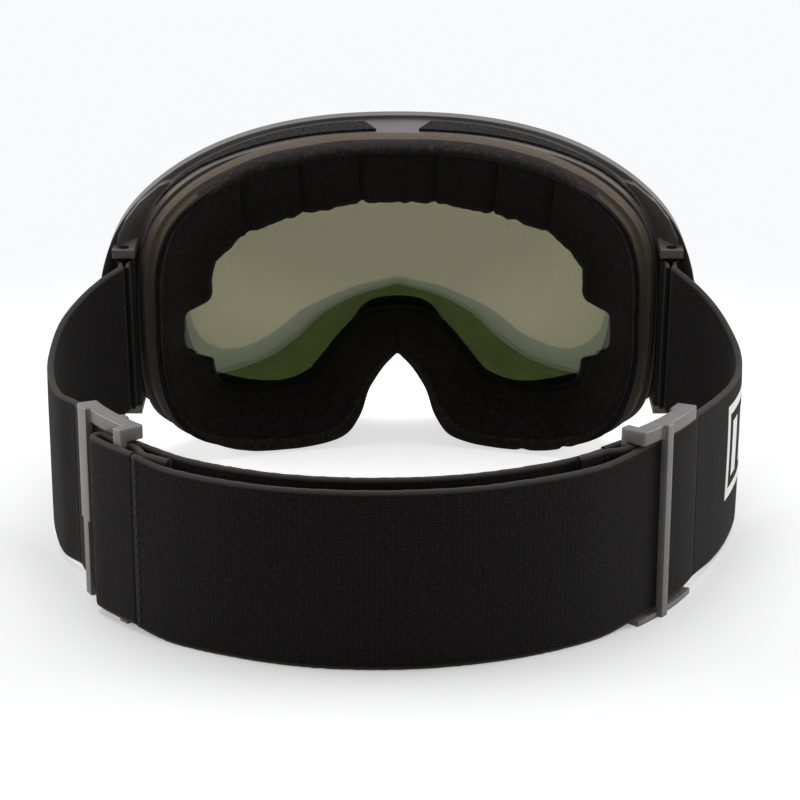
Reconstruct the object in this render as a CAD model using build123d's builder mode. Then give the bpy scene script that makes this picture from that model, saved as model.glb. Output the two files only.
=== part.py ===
"""Ski goggles: a wrapped frame with a double lens and face foam, on an adjustable elastic strap.

Axes: +Z up, +Y forwards (the way the wearer looks), +X to the wearer's right.
Origin: middle of the footprint, on the surface that the goggles stand on. Millimetres.
The head of the goggles leans back by LEAN, so its parts are drawn on planes across the head.
Depths in the head are measured forwards from the cheek line, at the middle of the face.
"""
import os
from math import cos, pi, radians, sin

from build123d import *

# ---- goggle head: overall ----
FRAME_WIDTH = 174.0         # across the front rim
FRAME_TOP = 97.0            # top of the rim above the cheek line
FRAME_BOTTOM = -2.5         # bottom of the rim under the cheeks
RIM_FRONT = 44.0            # front of the rim, forwards of the cheek line
RIM_WRAP = 52.8             # how far the rim's temples sweep back from its middle
JAW = 9.0                   # the rim draws in this much at the lower temples
LEAN = 6.5                  # the head leans back on its cheeks, degrees
HEAD_Y = 60.1               # cheek line in front of the origin
NOSE_TOP = 24.0             # top of the rim's nose notch
NOSE_HALF = 17.0            # half the width of that notch

# ---- lenses and rim ----
RIM_LIP = 1.1               # moulded lip in front of the lens and behind it
RIM_BORDER = 5.0            # width of the rim seen from the front
LENS_THICKNESS = 1.8
LENS_BORDER = 3.0           # how far the outer lens stops inside the rim's edge
INNER_LENS_THICKNESS = 1.2
LENS_GAP = 4.0              # air between the two lenses, and the gasket's depth
GASKET_WIDTH = 4.0
GROOVE_GAP = 0.15           # room round the lens in its groove
INNER_LENS_SIDE = 7.5       # the inner lens is narrower than the foam seat by this much on each side
INNER_LENS_BROW = 8.5       # and stops this far below the rim's top
INNER_LENS_CHEEK = 7.5      # its lower edge above the cheek line
INNER_LENS_NOSE = (9.0, 5.5)    # its nose notch is this much taller and wider than the rim's

# ---- channel behind the rim, and the foam seat ----
SEAT_DEPTH = 24.0           # foam seat, forwards of the cheek line
SEAT_WRAP = 31.4            # how far the seat's temples sweep back from its middle
SEAT_INSET = 10.0           # the seat is narrower than the rim by this much on each side
SEAT_THICKNESS = 3.0
SEAT_WIDTH_TEMPLE = 8.0     # the seat's own width at the temples
SEAT_WIDTH_BROW = 14.0
SEAT_WIDTH_CHEEK = 11.0
SEAT_NOSE = (9.0, 2.0)      # its opening's nose notch is this much taller and wider than the rim's
CHANNEL_WALL = 2.6
CHANNEL_STEP = 1.2          # its top and bottom stand in from the rim's
SIDE_FLARE = 0.42           # the channel's side widens forwards by this much for each millimetre
FLARE_END = 10.0            # and runs straight from here

# ---- vents ----
VENT_INNER = 5.0            # the two top windows start this far from the middle
VENT_SLANT = 9.0            # and their front corners this much further out
VENT_OUTER_INSET = 12.0     # their outer ends stop this far inside the rim's side
VENT_FRONT = 3.6            # plain wall between the window and the rim
VENT_REAR = 0.5             # and between the window and the foam seat
CHEEK_VENT_INNER = 26.0
CHEEK_VENT_OUTER_INSET = 33.0
FILTER_THICKNESS = 4.0
FILTER_DROP = 0.8           # the filter lies this far under the channel's outer surface

# ---- plate on the back of the rim at each temple, above the strap ----
PLATE_THICKNESS = 2.0
PLATE_EDGE = (              # distance inside the rim's side, and height over the lug
    (13.5, 0.0),
    (4.6, 0.0),
    (5.2, 5.0),
    (7.4, 9.5),
    (11.0, 13.0),
    (16.5, 16.0),
    (21.0, 16.0),
)

# ---- face foam ----
FOAM_DEPTH = 16.0           # from the seat to the face, at the middle
BASE_DEPTH = 6.0            # of the stiff base layer
FLEECE_THICKNESS = 1.6
FACE_WRAP = 25.8            # how far the face side sweeps back
FOAM_STEP = 1.7             # each layer stands in from the one in front of it
EYE_INSET = 11.0            # the eye opening is narrower than the foam seat by this much on each side
EYE_NOSE = (12.0, 3.0)      # and its nose notch is this much taller and wider than the rim's
BROW_BAND = 6.0             # width of the fleece over the brow
CHEEK_BAND = 12.0
LAYER_STEP = 2.5            # over the brow, the core's opening and the base's stand back by this much more
LINING_BORDER = 13.0        # the lining's lip stands in from the foam seat by this much at the temples
LINING_BROW = 24.5          # and from the rim's top
LINING_CHEEK = 15.0         # and from the cheek line
LINING_NOSE = (14.0, 6.0)   # its nose notch is this much taller and wider than the rim's
LINING_GAP = 2.5            # room between the lining and the inner lens
SEAT_GAP = 0.2              # and between the lining and the foam seat

# ---- strap ----
STRAP_WIDTH = 46.0
STRAP_THICKNESS = 1.8
STRAP_LIFT = 1.8            # lower edge of the strap at the sliders
BACK_CENTRE_X = -5.0        # the back of the strap is an arc round this upright axis
BACK_CENTRE_BEHIND = 72.5   # behind the cheek line
INNER_RADIUS = 82.8         # middle of the inner back layer
LEFT_JOIN = -73.0           # angle from straight back where the left side strap meets the arc
RIGHT_JOIN = 68.0

# ---- sliders ----
SLIDER_ANGLE = 54.8         # middle of each slider, from straight back
BAR_DEPTH = 2.0
BAR_GAP = 0.3               # room between a bar and the strap that slides past it
PLY_GAP = 0.05
OUTER_BAR = (7.5, 3.2)      # angle from the slider's middle, and width
PAD_WIDTH = 5.6             # the outer bar widens to a plain pad
PAD_HEIGHT = 31.0           # this far down from the slider's top
MIDDLE_BAR = (-1.8, 2.6)
INNER_BAR = (-7.3, 3.0)
RAIL_HEIGHT = 1.5           # lower rail
TOP_RAIL_HEIGHT = 3.8
RAIL_DEPTH = 4.2
LOOP_START = 0.8            # the sewn loop runs from this angle off the slider's middle
LOOP_SEAM = -12.3           # to this one, where it is sewn
LOOP_TAIL = -19.3           # and its folded end stops here
LOOP_ROUND = 2.0            # radius of its turn round the bar
PLY_SLIVER = 0.02           # the folded end lies this far from the ply over it

# ---- strap pins ----
PIN_INSET = 7.0             # inside the rim's side
PIN_DEPTH = -11.5
PIN_RADIUS = 1.5
PIN_MIDDLE = 46.5           # height of the pins' middle
PIN_ROOM = 1.0              # between the folded strap and the lugs
LUG_HEIGHT = 2.6
LUG_SIZE = (6.6, 11.0)
LUG_SHIFT = 3.0             # the lug's middle is this far in front of the pin
ANCHOR_PLY = 1.4
ANCHOR_GAP = 0.1
ANCHOR_TAIL = 7.4           # from the pin to where the folded end stops

HALF_WIDTH = FRAME_WIDTH / 2
SEAT_HALF_WIDTH = HALF_WIDTH - SEAT_INSET
FACE_HALF_WIDTH = SEAT_HALF_WIDTH - 2 * FOAM_STEP


def arc_radius(half_width, sweep):
    """Radius of the arc that sweeps back by a distance over half its width."""
    return (half_width**2 + sweep**2) / (2 * sweep)


RIM_RADIUS = arc_radius(HALF_WIDTH, RIM_WRAP)
LENS_RADIUS = RIM_RADIUS - RIM_LIP
GASKET_RADIUS = LENS_RADIUS - LENS_THICKNESS
RIM_BACK = GASKET_RADIUS - RIM_LIP
INNER_LENS_RADIUS = GASKET_RADIUS - LENS_GAP
LINING_RADIUS = INNER_LENS_RADIUS - INNER_LENS_THICKNESS - LINING_GAP
WRAP_CENTRE = RIM_FRONT - RIM_RADIUS
SEAT_RADIUS = arc_radius(SEAT_HALF_WIDTH, SEAT_WRAP)
SEAT_CENTRE = SEAT_DEPTH - SEAT_RADIUS
SEAT_FRONT_CENTRE = SEAT_CENTRE + SEAT_THICKNESS
SEAT_TEMPLE = SEAT_DEPTH - SEAT_WRAP
FACE_RADIUS = arc_radius(FACE_HALF_WIDTH, FACE_WRAP)
OUTER_RADIUS = INNER_RADIUS + 2 * STRAP_THICKNESS + BAR_GAP + BAR_DEPTH + 2 * PLY_GAP
BACK_CENTRE = (BACK_CENTRE_X, HEAD_Y - BACK_CENTRE_BEHIND)
PIN_X = HALF_WIDTH - PIN_INSET
ANCHOR_WIDTH = STRAP_WIDTH - 1.0
LUG_LEVEL = ANCHOR_WIDTH / 2 + PIN_ROOM
TOOL = 2 * FRAME_WIDTH      # length of the bars that cut and trim

PARTS = []


def keep(part, label):
    """Label a finished piece and write it."""
    part.label = label
    export_step(part, f"parts/{label}.step")
    PARTS.append(part)


def head_point(x, forward, up):
    """A point of the head, from its own depth and height."""
    c = cos(radians(LEAN))
    s = sin(radians(LEAN))
    return Vector(x, HEAD_Y + forward * c - up * s, forward * s + up * c)


def across(forward):
    """Plane across the head at a depth, seen from the wearer's side."""
    c = cos(radians(LEAN))
    s = sin(radians(LEAN))
    return Plane(origin=head_point(0, forward, 0), x_dir=(1, 0, 0), z_dir=(0, -c, -s))


def level(up):
    """Plane square to the head's upright axis; its Y runs forwards."""
    c = cos(radians(LEAN))
    s = sin(radians(LEAN))
    return Plane(origin=head_point(0, 0, up), x_dir=(1, 0, 0), z_dir=(0, -s, c))


def outline(half_width, top, bottom, nose_top, nose_half, jaw=0):
    """Goggle outline as a face: a broad brow, two cheeks and a notch for the nose."""
    height = top - bottom
    notch = nose_top - bottom
    with BuildSketch() as shape:
        with BuildLine():
            Spline(
                (0, top),
                (0.29 * half_width, top - 0.005 * height),
                (0.58 * half_width, top - 0.036 * height),
                (0.80 * half_width, top - 0.100 * height),
                (0.93 * half_width, top - 0.185 * height),
                (0.985 * half_width, top - 0.290 * height),
                (half_width, top - 0.440 * height),
                (0.985 * half_width - 0.45 * jaw, top - 0.700 * height),
                (0.915 * half_width - jaw, top - 0.860 * height),
                (0.780 * half_width - 0.8 * jaw, top - 0.950 * height),
                (0.500 * half_width, bottom),
                (nose_half + 0.05 * half_width, bottom + 0.09 * notch),
                (0.88 * nose_half, bottom + 0.32 * notch),
                (0.60 * nose_half, bottom + 0.68 * notch),
                (0, nose_top),
                tangents=((1, 0), (-1, 0)),
            )
            mirror(about=Plane.YZ)
        make_face()
    return shape.sketch


def wrapped_wall(front_radius, back_radius, front_centre=WRAP_CENTRE, back_centre=WRAP_CENTRE):
    """Wall between two cylinders that stand upright in the head, for trimming a part to a wrapped layer."""
    with BuildPart() as wall:
        with BuildSketch(level(-TOOL / 2)):
            with Locations((0, front_centre)):
                Circle(front_radius)
            with Locations((0, back_centre)):
                Circle(back_radius, mode=Mode.SUBTRACT)
        extrude(amount=TOOL)
    return wall.part


def back_point(radius, angle):
    """Plan point on an arc round the back's axis; angles count from straight back (-Y)."""
    turn = radians(angle)
    return (BACK_CENTRE[0] + radius * sin(turn), BACK_CENTRE[1] - radius * cos(turn))


def arc_block(inner, outer, start, end, low, high):
    """Upright block round the back's axis, between two radii and two angles."""
    middle = (start + end) / 2
    with BuildPart() as block:
        with BuildSketch(Plane.XY.offset(low)):
            with BuildLine():
                for radius in (inner, outer):
                    ThreePointArc(back_point(radius, start), back_point(radius, middle), back_point(radius, end))
                for angle in (start, end):
                    Line(back_point(inner, angle), back_point(outer, angle))
            make_face()
        extrude(amount=high - low)
    return block.part


def ring_shell(outer, inner, *wall):
    """Ring between two outlines, wrapped between two cylinders."""
    with BuildPart() as ring:
        with BuildSketch(across(RIM_FRONT + RIM_LIP)):
            add(outline(*outer))
            add(outline(*inner), mode=Mode.SUBTRACT)
        extrude(amount=HALF_WIDTH)
        add(wrapped_wall(*wall), mode=Mode.INTERSECT)
    return ring.part


def rim_outline(inset):
    """The rim's edge, or a line inside it."""
    return (
        HALF_WIDTH - inset,
        FRAME_TOP - inset,
        FRAME_BOTTOM + inset,
        NOSE_TOP + inset,
        NOSE_HALF + 0.5 * inset,
        JAW,
    )


def channel_outline(forward, inset):
    """The channel's wall, which widens forwards at the temples."""
    flare = SIDE_FLARE * (forward - SEAT_TEMPLE)
    return (
        SEAT_HALF_WIDTH + flare - inset,
        FRAME_TOP - CHANNEL_STEP - inset,
        FRAME_BOTTOM + CHANNEL_STEP + inset,
        NOSE_TOP + CHANNEL_STEP + inset,
        NOSE_HALF + 0.5 * inset,
        flare,
    )


def channel_tube(inset):
    """Solid bar of the channel's outline: it flares as far as FLARE_END, then runs straight."""
    with BuildPart() as tube:
        for forward in (SEAT_TEMPLE - FOAM_DEPTH, FLARE_END):
            with BuildSketch(across(forward)):
                add(outline(*channel_outline(forward, inset)))
        loft()
        with BuildSketch(across(FLARE_END)):
            add(outline(*channel_outline(FLARE_END, inset)))
        extrude(amount=FLARE_END - RIM_FRONT - RIM_LIP)
    return tube.part


SEAT_OUTER = channel_outline(SEAT_TEMPLE, CHANNEL_WALL / 2)
SEAT_OPENING = (
    SEAT_HALF_WIDTH - SEAT_WIDTH_TEMPLE,
    FRAME_TOP - SEAT_WIDTH_BROW,
    SEAT_WIDTH_CHEEK,
    NOSE_TOP + SEAT_NOSE[0],
    NOSE_HALF + SEAT_NOSE[1],
)


def vent_column(side, start, end, low, high):
    """Upright column over one window, between the rim and the foam seat."""
    with BuildPart() as column:
        with BuildSketch(level(low)):
            with Locations((0, WRAP_CENTRE)):
                Circle(RIM_BACK - VENT_FRONT)
            with Locations((0, SEAT_FRONT_CENTRE)):
                Circle(SEAT_RADIUS + VENT_REAR, mode=Mode.SUBTRACT)
            with BuildLine():
                Polyline(
                    (side * start, SEAT_DEPTH - TOOL),
                    (side * start, SEAT_DEPTH),
                    (side * (start + VENT_SLANT), RIM_FRONT),
                    (side * end, RIM_FRONT),
                    (side * end, SEAT_DEPTH - TOOL),
                    close=True,
                )
            make_face(mode=Mode.INTERSECT)
        extrude(amount=high - low)
    return column.part


VENTS = []
for side_name, side in (("left", -1), ("right", 1)):
    brow = (VENT_INNER, HALF_WIDTH - VENT_OUTER_INSET, 0.6 * FRAME_TOP, 1.2 * FRAME_TOP)
    cheek = (CHEEK_VENT_INNER, HALF_WIDTH - CHEEK_VENT_OUTER_INSET, -0.2 * FRAME_TOP, 0.12 * FRAME_TOP)
    VENTS.append((f"top_filter_{side_name}", side, *brow))
    VENTS.append((f"bottom_filter_{side_name}", side, *cheek))

# ---- frame: rim, channel, foam seat, vent windows and strap lugs in one moulding ----
with BuildPart() as channel:
    add(channel_tube(0))
    add(channel_tube(CHANNEL_WALL), mode=Mode.SUBTRACT)
    add(wrapped_wall(RIM_BACK + RIM_LIP / 2, SEAT_RADIUS, WRAP_CENTRE, SEAT_CENTRE), mode=Mode.INTERSECT)
    for name, *window in VENTS:
        add(vent_column(*window), mode=Mode.SUBTRACT)

with BuildPart() as lugs:
    for side in (-1, 1):
        for up in (PIN_MIDDLE - LUG_LEVEL - LUG_HEIGHT, PIN_MIDDLE + LUG_LEVEL):
            with BuildSketch(level(up)):
                with Locations((side * PIN_X, PIN_DEPTH + LUG_SHIFT)):
                    Rectangle(*LUG_SIZE)
                with Locations((side * PIN_X, PIN_DEPTH)):
                    Circle(PIN_RADIUS, mode=Mode.SUBTRACT)
                with Locations((0, WRAP_CENTRE)):
                    Circle(RIM_BACK + RIM_LIP / 2, mode=Mode.INTERSECT)
            extrude(amount=LUG_HEIGHT)

with BuildPart() as plates:
    for side in (-1, 1):
        corners = [(side * (HALF_WIDTH - inside), PIN_MIDDLE + LUG_LEVEL + over) for inside, over in PLATE_EDGE]
        with BuildSketch(across(RIM_FRONT)):
            with BuildLine():
                Polyline(*corners, close=True)
            make_face()
        extrude(amount=HALF_WIDTH)
    add(wrapped_wall(RIM_BACK + RIM_LIP / 2, RIM_BACK - PLATE_THICKNESS), mode=Mode.INTERSECT)
    add(channel_tube(CHANNEL_WALL), mode=Mode.SUBTRACT)

lens_groove = (LENS_RADIUS + GROOVE_GAP, GASKET_RADIUS - GROOVE_GAP)
with BuildPart() as frame:
    add(ring_shell(rim_outline(0), rim_outline(RIM_BORDER), RIM_RADIUS, RIM_BACK))
    add(
        ring_shell(rim_outline(LENS_BORDER - GROOVE_GAP), rim_outline(RIM_BORDER + 2), *lens_groove),
        mode=Mode.SUBTRACT,
    )
    add(channel.part)
    add(ring_shell(SEAT_OUTER, SEAT_OPENING, SEAT_RADIUS, SEAT_RADIUS, SEAT_FRONT_CENTRE, SEAT_CENTRE))
    add(lugs.part)
    add(plates.part)
keep(frame.part, "frame")

# ---- lenses and the gasket between them ----
with BuildPart() as outer_lens:
    with BuildSketch(across(RIM_FRONT + RIM_LIP)):
        add(outline(*rim_outline(LENS_BORDER)))
    extrude(amount=HALF_WIDTH)
    add(wrapped_wall(LENS_RADIUS, GASKET_RADIUS), mode=Mode.INTERSECT)
keep(outer_lens.part, "outer_lens")


def inner_lens_outline(inset):
    """The inner lens's edge, or a line inside it; it clears the foam seat at the temples."""
    taller, wider = INNER_LENS_NOSE
    return (
        SEAT_HALF_WIDTH - INNER_LENS_SIDE - inset,
        FRAME_TOP - INNER_LENS_BROW - inset,
        INNER_LENS_CHEEK + inset,
        NOSE_TOP + taller + inset,
        NOSE_HALF + wider + 0.5 * inset,
    )


with BuildPart() as lens_gasket:
    add(
        ring_shell(inner_lens_outline(0), inner_lens_outline(GASKET_WIDTH), GASKET_RADIUS, INNER_LENS_RADIUS),
    )
keep(lens_gasket.part, "lens_gasket")

with BuildPart() as inner_lens:
    with BuildSketch(across(RIM_FRONT + RIM_LIP)):
        add(outline(*inner_lens_outline(0)))
    extrude(amount=HALF_WIDTH)
    add(wrapped_wall(INNER_LENS_RADIUS, INNER_LENS_RADIUS - INNER_LENS_THICKNESS), mode=Mode.INTERSECT)
keep(inner_lens.part, "inner_lens")

# ---- open-cell filters, pressed into the windows ----
with BuildPart() as filter_ring:
    add(channel_tube(FILTER_DROP))
    add(channel_tube(FILTER_DROP + FILTER_THICKNESS), mode=Mode.SUBTRACT)

for name, *window in VENTS:
    with BuildPart() as vent_filter:
        add(filter_ring.part)
        add(vent_column(*window), mode=Mode.INTERSECT)
    keep(vent_filter.part, name)

# ---- face foam: base, core and fleece, each one step further from the frame ----
FACE_DEPTH = SEAT_DEPTH - FOAM_DEPTH
CORE_DEPTH = SEAT_DEPTH - BASE_DEPTH
FLEECE_DEPTH = FACE_DEPTH + FLEECE_THICKNESS


def foam_outline(step):
    """Outer outline of the foam, standing in from the seat by whole steps."""
    return (
        SEAT_HALF_WIDTH - 0.3 - step * FOAM_STEP,
        FRAME_TOP - 0.4,
        0,
        NOSE_TOP + 3 + step,
        NOSE_HALF - step,
    )


def eye_opening(brow_band):
    """Opening for the eyes in the face foam."""
    taller, wider = EYE_NOSE
    return (SEAT_HALF_WIDTH - EYE_INSET, FRAME_TOP - brow_band, CHEEK_BAND, NOSE_TOP + taller, NOSE_HALF + wider)


for name, step, brow_band, front, front_radius, back, back_radius in (
    ("foam_base", 0, BROW_BAND + 2 * LAYER_STEP, SEAT_DEPTH, SEAT_RADIUS, CORE_DEPTH, SEAT_RADIUS),
    ("foam_core", 1, BROW_BAND + LAYER_STEP, CORE_DEPTH, SEAT_RADIUS, FLEECE_DEPTH, FACE_RADIUS),
    ("fleece_lining", 2, BROW_BAND, FLEECE_DEPTH, FACE_RADIUS, FACE_DEPTH, FACE_RADIUS),
):
    layer = (front_radius, back_radius, front - front_radius, back - back_radius)
    with BuildPart() as foam:
        add(ring_shell(foam_outline(step), eye_opening(brow_band), *layer))
        split(bisect_by=Plane.XY, keep=Keep.TOP)
    keep(foam.part, name)

# ---- lining between the face foam and the inner lens, inside the foam seat ----
lining_outer = (
    SEAT_OPENING[0] - SEAT_GAP,
    SEAT_OPENING[1] - SEAT_GAP,
    SEAT_OPENING[2] + SEAT_GAP,
    SEAT_OPENING[3] + SEAT_GAP,
    SEAT_OPENING[4],
)
lining_opening = (
    SEAT_HALF_WIDTH - LINING_BORDER,
    FRAME_TOP - LINING_BROW,
    LINING_CHEEK,
    NOSE_TOP + LINING_NOSE[0],
    NOSE_HALF + LINING_NOSE[1],
)
with BuildPart() as vent_lining:
    add(ring_shell(lining_outer, lining_opening, LINING_RADIUS, SEAT_RADIUS, WRAP_CENTRE, SEAT_CENTRE + SEAT_GAP))
keep(vent_lining.part, "vent_lining")

# ---- strap pins and the strap ends folded round them ----
for name, side in (("left", -1), ("right", 1)):
    with BuildPart() as strap_pin:
        with BuildSketch(level(PIN_MIDDLE - LUG_LEVEL - LUG_HEIGHT)):
            with Locations((side * PIN_X, PIN_DEPTH)):
                Circle(PIN_RADIUS)
        extrude(amount=2 * (LUG_LEVEL + LUG_HEIGHT))
    keep(strap_pin.part, f"strap_pin_{name}")

    with BuildPart() as anchor_loop:
        with BuildSketch(level(PIN_MIDDLE - ANCHOR_WIDTH / 2)):
            with Locations((side * PIN_X, PIN_DEPTH)):
                Circle(PIN_RADIUS + ANCHOR_GAP + ANCHOR_PLY)
            with Locations((side * PIN_X, PIN_DEPTH - ANCHOR_TAIL / 2)):
                Rectangle(2 * ANCHOR_PLY, ANCHOR_TAIL)
            with Locations((side * PIN_X, PIN_DEPTH)):
                Circle(PIN_RADIUS + ANCHOR_GAP, mode=Mode.SUBTRACT)
        extrude(amount=ANCHOR_WIDTH)
    keep(anchor_loop.part, f"anchor_loop_{name}")

# ---- strap ----
HALF_STRAP = STRAP_THICKNESS / 2
STRAP_TOP = STRAP_LIFT + STRAP_WIDTH
HEAD_UP = Vector(0, -sin(radians(LEAN)), cos(radians(LEAN)))


def side_strap(side, stations, end_radius, end_angle):
    """Flat band from a pin to the back arc.

    Each station has its share of the way, how far the band bulges outwards there, and how far it
    has dropped from its height at the pin.
    """
    start = head_point(side * PIN_X, PIN_DEPTH - ANCHOR_TAIL - HALF_STRAP - BAR_GAP, PIN_MIDDLE)
    end_x, end_y = back_point(end_radius, end_angle)
    end = Vector(end_x, end_y, STRAP_LIFT + STRAP_WIDTH / 2)
    route = [start]
    for share, bulge, drop in stations:
        along = start + (end - start) * share
        route.append(Vector(along.X + side * bulge, along.Y, start.Z - drop))
    route.append(end)
    end_turn = radians(end_angle)
    headings = [route[1] - route[0]]
    headings += [after - before for before, after in zip(route, route[2:])]
    headings.append(Vector(cos(end_turn), sin(end_turn), 0) * -side)
    with BuildPart() as band:
        for index, (middle, heading) in enumerate(zip(route, headings)):
            upright = HEAD_UP if index == 0 else Vector(0, 0, 1)
            across_band = Vector(heading.X, heading.Y, 0).cross(upright)
            with BuildSketch(Plane(origin=middle, x_dir=across_band, z_dir=upright.cross(across_band))):
                Rectangle(STRAP_THICKNESS, STRAP_WIDTH)
        loft(ruled=True)
    return band.part


with BuildPart() as side_strap_left:
    left_stations = (
        (0.10, 4.8, 2.3),
        (0.22, 9.2, 5.6),
        (0.38, 12.9, 10.4),
        (0.55, 13.5, 15.8),
        (0.73, 10.7, 18.6),
        (0.88, 6.4, 19.6),
    )
    add(side_strap(-1, left_stations, INNER_RADIUS, LEFT_JOIN))
keep(side_strap_left.part, "side_strap_left")

with BuildPart() as side_strap_right:
    right_stations = (
        (0.12, 6.6, 4.2),
        (0.24, 12.6, 9.8),
        (0.36, 16.2, 15.8),
        (0.48, 16.0, 18.8),
        (0.64, 12.6, 20.0),
        (0.82, 6.8, 20.0),
    )
    add(side_strap(1, right_stations, OUTER_RADIUS, RIGHT_JOIN))
keep(side_strap_right.part, "side_strap_right")

LEFT_SEAM = -SLIDER_ANGLE - LOOP_SEAM


def back_layer(radius, start, end):
    """One layer of the strap round the back of the head."""
    return arc_block(radius - HALF_STRAP, radius + HALF_STRAP, start, end, STRAP_LIFT, STRAP_TOP)


with BuildPart() as back_strap_inner:
    add(back_layer(INNER_RADIUS, LEFT_JOIN, -LEFT_SEAM))
keep(back_strap_inner.part, "back_strap_inner")

with BuildPart() as back_strap_outer:
    add(back_layer(OUTER_RADIUS, LEFT_SEAM, RIGHT_JOIN))
keep(back_strap_outer.part, "back_strap_outer")

# ---- sliders: three bars between two rails; a bar stands on one side of the strap it grips ----
RAIL_TOP = STRAP_TOP + BAR_GAP + TOP_RAIL_HEIGHT
BAR_NEAR = HALF_STRAP + BAR_GAP
BAR_FAR = BAR_NEAR + BAR_DEPTH
LOOP_BAR_NEAR = BAR_NEAR + STRAP_THICKNESS + PLY_GAP
LOOP_BAR_FAR = LOOP_BAR_NEAR + BAR_DEPTH
LOOP_FAR = LOOP_BAR_FAR + PLY_GAP + STRAP_THICKNESS

for name, side, grip_radius, out in (("left", -1, INNER_RADIUS, 1), ("right", 1, OUTER_RADIUS, -1)):
    degree = grip_radius * pi / 180

    def block(near, far, first, last, low, high):
        """Block from two distances off the gripped strap and two angles off the slider's middle."""
        radii = sorted((grip_radius + out * near, grip_radius + out * far))
        angles = sorted((side * (SLIDER_ANGLE + first), side * (SLIDER_ANGLE + last)))
        return arc_block(*radii, *angles, low, high)

    def bar(near, far, place, low, high):
        """Block as wide as a bar, at the bar's place."""
        angle, width = place
        return block(near, far, angle - width / 2 / degree, angle + width / 2 / degree, low, high)

    rail_start = INNER_BAR[0] - INNER_BAR[1] / 2 / degree
    rail_end = OUTER_BAR[0] + PAD_WIDTH / 2 / degree
    with BuildPart() as slider:
        for low, high in ((0, RAIL_HEIGHT), (RAIL_TOP - TOP_RAIL_HEIGHT, RAIL_TOP)):
            add(block(-RAIL_DEPTH / 2, RAIL_DEPTH / 2, rail_start, rail_end, low, high))
            add(bar(0, LOOP_BAR_FAR, INNER_BAR, low, high))
            add(bar(0, BAR_FAR, OUTER_BAR, low, high))
            add(bar(0, -BAR_FAR, MIDDLE_BAR, low, high))
        add(bar(LOOP_BAR_NEAR, LOOP_BAR_FAR, INNER_BAR, 0, RAIL_TOP))
        add(bar(BAR_NEAR, BAR_FAR, OUTER_BAR, 0, RAIL_TOP))
        add(bar(BAR_NEAR, BAR_FAR, (OUTER_BAR[0], PAD_WIDTH), RAIL_TOP - PAD_HEIGHT, RAIL_TOP))
        add(bar(-BAR_NEAR, -BAR_FAR, MIDDLE_BAR, 0, RAIL_TOP))
    keep(slider.part, f"slider_{name}")

    ply = STRAP_THICKNESS / degree
    with BuildPart() as strap_loop:
        add(block(BAR_NEAR, LOOP_FAR, LOOP_START, LOOP_SEAM, STRAP_LIFT, STRAP_TOP))
        upright = strap_loop.edges().filter_by(Axis.Z)
        fillet(upright.sort_by(lambda edge: side * edge.center().X)[-2:], LOOP_ROUND)
        hollow = (LOOP_BAR_NEAR - PLY_GAP, LOOP_BAR_FAR + PLY_GAP, LOOP_START - ply, LOOP_SEAM + ply)
        add(block(*hollow, STRAP_LIFT, STRAP_TOP), mode=Mode.SUBTRACT)
        tail_near = LOOP_FAR - 2 * STRAP_THICKNESS
        add(block(tail_near, tail_near + STRAP_THICKNESS - PLY_SLIVER, LOOP_SEAM, LOOP_TAIL, STRAP_LIFT, STRAP_TOP))
    keep(strap_loop.part, f"strap_loop_{name}")

whole = Compound(children=PARTS)
box = whole.bounding_box()
print("box", [round(v, 2) for v in (box.min.X, box.min.Y, box.min.Z, box.max.X, box.max.Y, box.max.Z)])
print("pieces", len(PARTS))
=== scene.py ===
"""Ski goggles: the looks of the frame, lenses, face foam, elastic strap and sliders.

The goggles' head leans back by LEAN. Its own points are written in millimetres, as a distance to the
right, a depth forwards of the cheek line and a height, and `head` turns them into the shared frame.
"""

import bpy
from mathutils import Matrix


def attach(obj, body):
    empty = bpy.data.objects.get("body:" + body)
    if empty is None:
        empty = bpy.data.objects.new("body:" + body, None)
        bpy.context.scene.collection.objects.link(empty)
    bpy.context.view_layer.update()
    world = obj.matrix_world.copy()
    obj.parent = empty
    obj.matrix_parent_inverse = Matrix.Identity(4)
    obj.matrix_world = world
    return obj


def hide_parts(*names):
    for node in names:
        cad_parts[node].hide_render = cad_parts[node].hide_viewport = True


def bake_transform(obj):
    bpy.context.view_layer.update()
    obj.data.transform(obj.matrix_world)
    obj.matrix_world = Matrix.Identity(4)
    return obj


bl_info = {
    "name": "Ski goggles",
    "version": (1, 0, 0),
    "blender": (4, 5, 0),
    "location": "View3D > Sidebar > Goggles",
    "description": "Builds the finish of a pair of ski goggles on its CAD frame",
    "category": "Add Mesh",
}

from math import cos, exp, pi, radians, sin, sqrt

import bmesh
import bpy
from mathutils import Vector, noise

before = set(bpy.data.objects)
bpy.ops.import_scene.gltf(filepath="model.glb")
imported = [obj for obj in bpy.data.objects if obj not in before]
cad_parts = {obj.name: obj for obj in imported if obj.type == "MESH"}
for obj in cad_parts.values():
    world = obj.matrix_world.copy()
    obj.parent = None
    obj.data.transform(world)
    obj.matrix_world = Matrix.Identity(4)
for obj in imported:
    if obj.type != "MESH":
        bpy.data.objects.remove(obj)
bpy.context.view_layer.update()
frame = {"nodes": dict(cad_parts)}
MM = 0.001

# ---- the head ----
LEAN = radians(6.5)
HEAD_Y = 60.1               # cheek line in front of the origin
LENS_FRONT = 37.1           # inside of the outer lens at the middle, and its wrap
LENS_RADIUS = 91.2
LENS_CURVE = 2.5            # how fast the lens's slight upright curve turns its face, radians in a metre
LENS_MIDDLE = 0.062         # height where the lens stands upright in the head, metres
LENS_SIDE = 8.0             # how much lower that height lies towards the temples, by the square of the distance
SEAT_FRONT = 24.0           # foam seat
SEAT_RADIUS = 110.1
FACE_FRONT = 8.0            # face side of the foam
FACE_RADIUS = 118.1

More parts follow.
